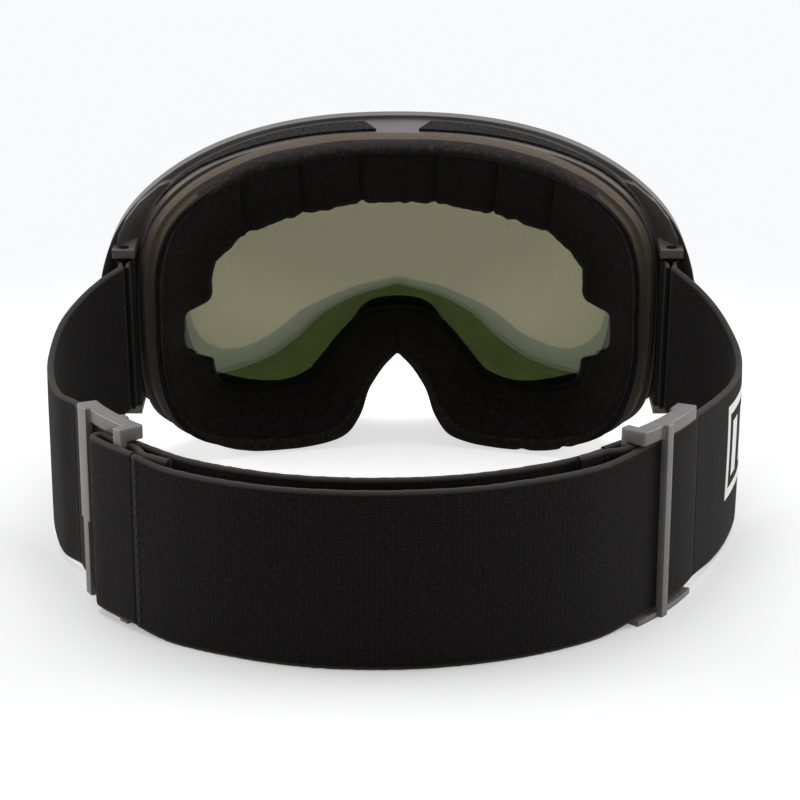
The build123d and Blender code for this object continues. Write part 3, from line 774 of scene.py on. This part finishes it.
class GoggleColours(bpy.types.PropertyGroup):
    """Colours that a user may change."""
    frame: colour_property("Frame", "Lighter tone of the moulded frame", "595551")
    slider: colour_property("Sliders", "Lighter tone of the moulded sliders", "65625e")
    webbing: colour_property("Strap", "Lightest yarn of the strap's knit", "22201f")
    foam: colour_property("Foam", "Cell walls of the dense face foam", "63594f")
    mark: colour_property("Print", "Ink of the plain print on the right side strap", "dededc")
    coating: colour_property("Mirror coating", "Colour that the lens's coating reflects", "dfe4b8")
    tint: colour_property("Lens tint", "Colour that the coated lens lets through", "68834a")


class GOGGLES_OT_frame(bpy.types.Operator):
    """Give the moulded frame and the strap pins their finish"""
    bl_idname = "goggles.frame"
    bl_label = "Frame"

    def execute(self, context):
        paint("frame", moulded_rubber(context.scene.goggle_colours.frame))
        steel = steel_wire()
        paint("strap_pin_left", steel)
        paint("strap_pin_right", steel)
        return {"FINISHED"}


class GOGGLES_OT_lenses(bpy.types.Operator):
    """Give the double lens its tint, mirror coating and gasket"""
    bl_idname = "goggles.lenses"
    bl_label = "Lenses"

    def execute(self, context):
        paint("inner_lens", see_through("clear cellulose propionate", "f4f6f0", "ffffff", 0.035))
        bare = see_through("tinted polycarbonate", "cfbec4", "ffffff", 0.03)
        lens = finished_copy("outer_lens", "outer_lens_coated", bare, 0)
        colours = context.scene.goggle_colours
        lens.data.materials.append(see_through("mirror coating on polycarbonate", colours.tint, colours.coating, 0.6))
        middle = head(0, LENS_FRONT - LENS_RADIUS, 45)
        across = (head(0, 0, 1) - head(0, 0, 0)).normalized()
        for face in lens.data.polygons:
            away = face.center - middle
            away -= across * away.dot(across)
            face.material_index = 1 if face.normal.dot(away.normalized()) > 0.5 else 0
        curve_upright(lens.data)
        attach(lens, "frame")
        paint("lens_gasket", foam_cells("closed-cell gasket foam", "050505", "0e0e0e", 0.5, 0.05))
        return {"FINISHED"}


class GOGGLES_OT_vents(bpy.types.Operator):
    """Give the vent filters their open cells"""
    bl_idname = "goggles.vents"
    bl_label = "Vent filters"

    def execute(self, context):
        cells = foam_cells("open-cell filter foam", "060606", "2b2a28", 0.85, 0.5)
        for side in ("left", "right"):
            paint(f"bottom_filter_{side}", cells)
            piece = finished_copy(f"top_filter_{side}", f"top_filter_{side}_foam", cells, 0)
            only(piece)
            bpy.ops.object.mode_set(mode="EDIT")
            bpy.ops.mesh.select_mode(type="FACE")
            bpy.ops.mesh.select_all(action="DESELECT")
            mesh = bmesh.from_edit_mesh(piece.data)
            for face in mesh.faces:
                face.select_set(face.normal.dot(HEAD_UP) > FACES_UP)
            bmesh.update_edit_mesh(piece.data)
            bpy.ops.transform.translate(value=HEAD_UP * context.scene.goggle_sizes.filter_swell)
            bpy.ops.object.mode_set(mode="OBJECT")
            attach(piece, "frame")
        return {"FINISHED"}


class GOGGLES_OT_foam(bpy.types.Operator):
    """Model the layered face foam, its fleece and the lining"""
    bl_idname = "goggles.foam"
    bl_label = "Face foam"

    def execute(self, context):
        waver = context.scene.goggle_sizes.foam_waver / MM
        dense = foam_cells("dense polyurethane foam", "4c443c", context.scene.goggle_colours.foam, 0.3, 0.04)
        fleece = brushed_fleece("brushed fleece", "121010", "1a1817", "2b2826")
        # A lighter copy of the fleece for the cap at the face edge: painted light, as the band there is lit from
        # above.
        lit_fleece = brushed_fleece("brushed fleece, painted lighter", "1b1817", "282423", "3c3735")
        base = foam_ring(
            "foam_base_ring",
            ((0.01, 0.04), (0.03, 0.01), (0.1, 0), (0.20, -0.01), (0.3, 0), (0.35, 0.01), (0.367, 0.03),
             (0.367, 0.84), (0.01, 0.84)),
            dense, waver)
        core = foam_ring(
            "foam_core_ring",
            ((0.372, 0.03), (0.38, 0.01), (0.42, 0), (0.47, 0), (0.50, 0.02), (0.51, 0.1), (0.52, 0.2), (0.78, 0.22),
             (0.79, 0.3), (0.52, 0.78), (0.372, 0.82)),
            dense, waver)
        cap = foam_ring(
            "fleece_face",
            ((0.515, 0.18), (0.505, 0.08), (0.51, -0.01), (0.54, -0.05), (0.62, -0.07), (0.74, -0.06), (0.86, -0.03),
             (0.95, 0.02), (1.0, 0.08), (1.025, 0.16), (1.03, 0.26), (1.02, 0.36), (0.95, 0.38), (0.9, 0.3),
             (0.86, 0.2), (0.7, 0.18)),
            lit_fleece, waver, 3.2)
        lining = lining_ring(fleece, waver)
        for piece, node in ((base, "foam_base"), (core, "foam_core"), (cap, "fleece_lining"), (lining, "vent_lining")):
            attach(piece, "frame")
            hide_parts(node)
        return {"FINISHED"}


def loop_path(slider_radius, side, out):
    """Spine of a sewn loop: from its folded end, round the slider's bar and back to the seam."""
    def place(angle, off):
        return polar(slider_radius + out * off, side * (SLIDER_ANGLE + angle))

    inner = ((-19.2, 4.25), (-16, 4.25), (-13.2, 4.2), (-11.4, 2.9), (-9.6, 2.15), (-6, 2.1), (-2.6, 2.1))
    turn = ((-0.6, 2.5), (0.2, 4.05), (-0.6, 5.6))
    outer = ((-2.6, 6.0), (-6, 6.0), (-9.6, 6.0), (-12.2, 6.0))
    return smooth_path([place(angle, off) for angle, off in inner + turn + outer], 0.7)


def stitches(name, radius, angle, material):
    """Row of short thread stitches up the strap at an angle round its back."""
    lowest = polar(radius, angle, STRAP_MIDDLE - (STITCHES - 1) / 2 * STITCH_PITCH)
    bpy.ops.object.select_all(action="DESELECT")
    bpy.ops.mesh.primitive_uv_sphere_add(
        segments=6, ring_count=4, radius=0.5 * MM, location=lowest * MM, rotation=(0, 0, radians(angle)),
        scale=STITCH_SIZE)
    piece = bpy.context.object
    piece.name = piece.data.name = name
    bpy.ops.object.transform_apply(location=True, rotation=True, scale=True)
    bpy.ops.object.mode_set(mode="EDIT")
    bpy.ops.mesh.select_all(action="SELECT")
    for _ in range(STITCHES - 1):
        bpy.ops.mesh.duplicate()
        bpy.ops.transform.translate(value=(0, 0, STITCH_PITCH * MM))
    bpy.ops.object.mode_set(mode="OBJECT")
    piece.data.materials.append(material)
    return piece


class GOGGLES_OT_strap(bpy.types.Operator):
    """Model the side straps, the two back layers and their sewn loops"""
    bl_idname = "goggles.strap"
    bl_label = "Strap"

    def execute(self, context):
        sizes = context.scene.goggle_sizes
        width = sizes.strap_width / MM
        thick = sizes.strap_thickness / MM
        ripple = sizes.strap_ripple / MM
        colours = context.scene.goggle_colours
        webbing = knitted_webbing("knitted elastic webbing", colours.webbing)
        printed = knitted_webbing("knitted elastic webbing, printed", colours.webbing, colours.mark)
        for name, side, stations, radius, angle, finish in (
            ("left", -1, LEFT_STATIONS, INNER_RADIUS, -73.0, webbing),
            ("right", 1, RIGHT_STATIONS, OUTER_RADIUS, 68.0, printed),
        ):
            spine, uprights = side_route(side, stations, radius, angle)
            piece = band(f"side_webbing_{name}", spine, width, thick, finish, ripple, uprights)
            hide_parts(f"side_strap_{name}")
            start = spine[0] * MM
            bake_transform(piece)
        for name, radius, start, end, other, sag in (
            ("inner", INNER_RADIUS, -73.0, 42.5, "slider_right", 0.6),
            ("outer", OUTER_RADIUS, -42.5, 68.0, "slider_left", 1.7),
        ):
            count = round(radians(end - start) * radius / 1.2)
            angles = [mix(start, end, i / count) for i in range(count + 1)]
            spine = [polar(radius, a, STRAP_MIDDLE - sag * back_sag(a)) for a in angles]
            piece = band(f"back_webbing_{name}", spine, width, thick, webbing, ripple)
            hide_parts(f"back_strap_{name}")
            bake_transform(piece)
        for name, side, radius, out in (("left", -1, INNER_RADIUS, 1), ("right", 1, OUTER_RADIUS, -1)):
            spine = loop_path(radius, side, out)
            piece = band(f"sewn_loop_{name}", spine, width, thick, webbing, 0)
            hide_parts(f"strap_loop_{name}")
            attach(piece, f"slider_{name}")
            around = [head(side * (PIN_X + x), PIN_DEPTH + forward, PIN_MIDDLE) / MM for x, forward in ROUND_PIN]
            spine = smooth_path(around, 0.6)
            anchor = band(f"anchor_webbing_{name}", spine, width - 1.0, 1.3, webbing, 0, [HEAD_UP] * len(spine))
            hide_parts(f"anchor_loop_{name}")
            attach(anchor, "frame")
        thread = sewing_thread()
        for name, radius, angle, slider in (
            ("seam_left_outside", OUTER_RADIUS + thick / 2, -SEAM_ANGLE, "slider_left"),
            ("seam_left_inside", OUTER_RADIUS - thick * 1.5, -SEAM_ANGLE, "slider_left"),
            ("seam_right_inside", INNER_RADIUS - thick / 2, SEAM_ANGLE, "slider_right"),
            ("seam_right_outside", INNER_RADIUS + thick * 1.5, SEAM_ANGLE, "slider_right"),
        ):
            seam = stitches(name, radius, angle, thread)
            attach(seam, slider)
        return {"FINISHED"}


class GOGGLES_OT_sliders(bpy.types.Operator):
    """Round the sliders' edges and give them their finish"""
    bl_idname = "goggles.sliders"
    bl_label = "Sliders"

    def execute(self, context):
        plastic = moulded_acetal(context.scene.goggle_colours.slider)
        for side in ("left", "right"):
            node = f"slider_{side}"
            edge = context.scene.goggle_sizes.edge_round / MM
            piece = finished_copy(node, f"{node}_moulded", plastic, edge * 0.7, STRAP_MIDDLE + 23.2, edge * 2)
            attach(piece, node)
        return {"FINISHED"}


# ---- the stage ----
LIT_SPOT = Vector((0, 0, 0.04))
CAMERA_LENS = 103.46
CAMERA_BACK = 673.8         # behind the cheek line
CAMERA_UP = 230.3
CAMERA_PITCH = 17.5         # degrees below level


class GOGGLES_OT_stage(bpy.types.Operator):
    """Put up the floor, the soft lights and the camera"""
    bl_idname = "goggles.stage"
    bl_label = "Stage"

    def execute(self, context):
        scene = context.scene
        white = Finish("white paper sweep", "d2d2d3", Roughness=0.9, Specular_IOR_Level=0.1)
        white.shader.inputs["Emission Color"].default_value = rgb("ffffff")
        path = white.add("ShaderNodeLightPath").outputs
        rays = [(0, path["Is Camera Ray"]), (1, path["Is Glossy Ray"])]
        seen = white.add("ShaderNodeMath", rays, operation="MAXIMUM")
        rays = [(0, seen.outputs["Value"]), (1, path["Is Transmission Ray"])]
        seen = white.add("ShaderNodeMath", rays, operation="MAXIMUM").outputs["Value"]
        place = white.add("ShaderNodeTexCoord").outputs["Object"]

        def distance(middle, stretch, near, far, low, high):
            """Value that goes from low to high between two distances from a spot on the floor."""
            moved = white.add(
                "ShaderNodeMapping", [("Vector", place)], vector_type="TEXTURE", Location=(*middle, 0),
                Scale=(1, stretch, 1))
            away = white.add("ShaderNodeVectorMath", [(0, moved.outputs["Vector"])], operation="LENGTH")
            return white.add(
                "ShaderNodeMapRange", [("Value", away.outputs["Value"])], interpolation_type="SMOOTHSTEP",
                From_Min=near, From_Max=far, To_Min=low, To_Max=high).outputs["Result"]

        # Painted pool of light: near the goggles the floor glows at 0.66 for camera, glossy and transmission rays,
        # falling to 0.3 beyond 0.12 m, which lightens the shadow there.
        inputs = [(0, seen), (1, distance((0, 0.07), 0.7, 0.05, 0.12, 0.66, 0.3))]
        glow = white.add("ShaderNodeMath", inputs, operation="MULTIPLY")
        white.drive("Emission Strength", glow.outputs["Value"])
        inputs = [(0, seen), (1, distance((0, 0), 1, 0.17, 0.36, 0, 1))]
        far = white.add("ShaderNodeMath", inputs, operation="MULTIPLY")
        plain = white.add("ShaderNodeEmission", Color=rgb("f8f9fb"))
        layers = [("Fac", far.outputs["Value"]), (1, white.shader.outputs["BSDF"]), (2, plain.outputs["Emission"])]
        sweep = white.add("ShaderNodeMixShader", layers)
        output = white.tree.nodes["Material Output"]
        white.tree.links.new(sweep.outputs["Shader"], output.inputs["Surface"])
        bpy.ops.object.select_all(action="DESELECT")
        bpy.ops.mesh.primitive_plane_add(size=8, location=(0, 0, 0))
        floor = context.object
        floor.name = "floor"
        floor.data.materials.append(white.material)

        world = bpy.data.worlds.new("studio")
        scene.world = world
        world.use_nodes = True
        tree = world.node_tree
        room = tree.nodes["Background"]
        room.inputs["Strength"].default_value = 0.22
        room.inputs["Color"].default_value = rgb("ffffff")
        backdrop = add_node(tree, "ShaderNodeBackground", Strength=1.0, Color=rgb("f8f9fb"))
        path = add_node(tree, "ShaderNodeLightPath").outputs
        inputs = [(0, path["Is Camera Ray"]), (1, path["Is Glossy Ray"])]
        seen = add_node(tree, "ShaderNodeMath", inputs, operation="MAXIMUM")
        layers = [("Fac", seen.outputs["Value"]), (1, room.outputs["Background"]), (2, backdrop.outputs["Background"])]
        both = add_node(tree, "ShaderNodeMixShader", layers)
        tree.links.new(both.outputs["Shader"], tree.nodes["World Output"].inputs["Surface"])

        for name, place, size, power in (
            ("softbox above", (0.0, 0.2, 1.3), 1.2, 14),
            ("softbox left", (-1.3, 0.25, 0.4), 0.8, 12),
            ("softbox right", (1.3, 0.25, 0.4), 0.8, 12),
            ("softbox behind the camera", (0.0, -1.4, 0.7), 0.8, 1.5),
        ):
            lamp = bpy.data.lights.new(name, "AREA")
            lamp.shape = "SQUARE"
            lamp.size = size
            lamp.energy = power
            box = bpy.data.objects.new(name, lamp)
            box.location = place
            box.rotation_mode = "QUATERNION"
            box.rotation_quaternion = (Vector(place) - LIT_SPOT).to_track_quat("Z", "Y")
            context.collection.objects.link(box)

        lens = bpy.data.cameras.new("camera")
        lens.lens = CAMERA_LENS
        lens.sensor_width = 36
        lens.shift_x = 0.0031
        lens.clip_start = 0.05
        camera = bpy.data.objects.new("camera", lens)
        camera.location = (0, (HEAD_Y - CAMERA_BACK) * MM, CAMERA_UP * MM)
        camera.rotation_euler = (radians(90 - CAMERA_PITCH), 0, 0)
        context.collection.objects.link(camera)
        scene.camera = camera
        scene.view_settings.view_transform = "Standard"
        return {"FINISHED"}


class GOGGLES_PT_panel(bpy.types.Panel):
    """Panel that lists the steps"""
    bl_idname = "GOGGLES_PT_panel"
    bl_label = "Ski goggles"
    bl_space_type = "VIEW_3D"
    bl_region_type = "UI"
    bl_category = "Goggles"

    def draw(self, context):
        for values in (context.scene.goggle_sizes, context.scene.goggle_colours):
            for name in values.bl_rna.properties.keys():
                if name not in ("rna_type", "name"):
                    self.layout.prop(values, name)
        for operator in OPERATORS:
            self.layout.operator(operator.bl_idname)


OPERATORS = (
    GOGGLES_OT_frame,
    GOGGLES_OT_lenses,
    GOGGLES_OT_vents,
    GOGGLES_OT_foam,
    GOGGLES_OT_strap,
    GOGGLES_OT_sliders,
    GOGGLES_OT_stage,
)
CLASSES = (GoggleSizes, GoggleColours, *OPERATORS, GOGGLES_PT_panel)


def register():
    for made in CLASSES:
        bpy.utils.register_class(made)
    bpy.types.Scene.goggle_sizes = bpy.props.PointerProperty(type=GoggleSizes)
    bpy.types.Scene.goggle_colours = bpy.props.PointerProperty(type=GoggleColours)


def unregister():
    del bpy.types.Scene.goggle_colours
    del bpy.types.Scene.goggle_sizes
    for made in reversed(CLASSES):
        bpy.utils.unregister_class(made)


def main():
    register()
    bpy.ops.goggles.frame()
    bpy.ops.goggles.lenses()
    bpy.ops.goggles.vents()
    bpy.ops.goggles.foam()
    bpy.ops.goggles.strap()
    bpy.ops.goggles.sliders()
    bpy.ops.goggles.stage()


if __name__ == "__main__":
    main()
